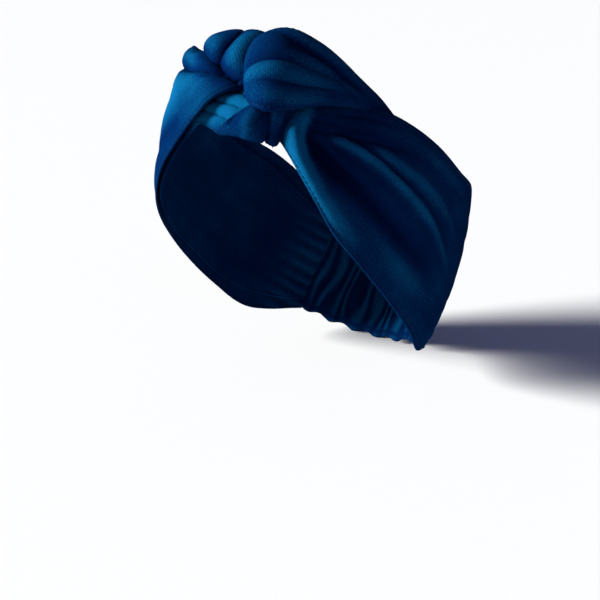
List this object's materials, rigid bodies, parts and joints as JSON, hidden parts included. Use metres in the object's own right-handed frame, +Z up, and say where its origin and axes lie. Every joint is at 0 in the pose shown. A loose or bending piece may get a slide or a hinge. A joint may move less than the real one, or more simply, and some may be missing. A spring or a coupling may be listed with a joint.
{
  "type": "knotted headband",
  "caption": "Wide stretch-jersey headband with interlocked strips twisted into a turban knot over the brow and an elastic nape casing.",
  "frame": {"origin": "centre of the wearer's head at its widest level, which is the middle of the space the band goes round", "axes": "+Z up as worn, the wearer faces -Y, +X towards the wearer's left; the band's plane is tilted 42 degrees, brow side up"},
  "size_m": [0.1536, 0.1768, 0.1997],
  "materials": {
    "cloth": "fine ribbed jersey knit, soft sheen",
    "elastic": "woven flat elastic",
    "thread": "spun polyester thread"
  },
  "bodies": {
    "front": {"left_strip": "cloth", "right_strip": "cloth", "left_crown_hem_stitches": "thread", "left_face_hem_stitches": "thread", "right_crown_hem_stitches": "thread", "right_face_hem_stitches": "thread"},
    "rear": {"nape_casing": "cloth", "elastic_band": "elastic", "left_joint_stitches": "thread", "right_joint_stitches": "thread", "casing_crown_stitches": "thread", "casing_neck_stitches": "thread", "elastic_left_tack": "thread", "elastic_right_tack": "thread"}
  },
  "joints": [
    {"name": "rear_stretch", "type": "slide", "parent": "front", "child": "rear", "axis": [0, 0.7431, -0.6691], "range_m": [0, 0.015], "stiffness_N_per_m": 250}
  ]
}
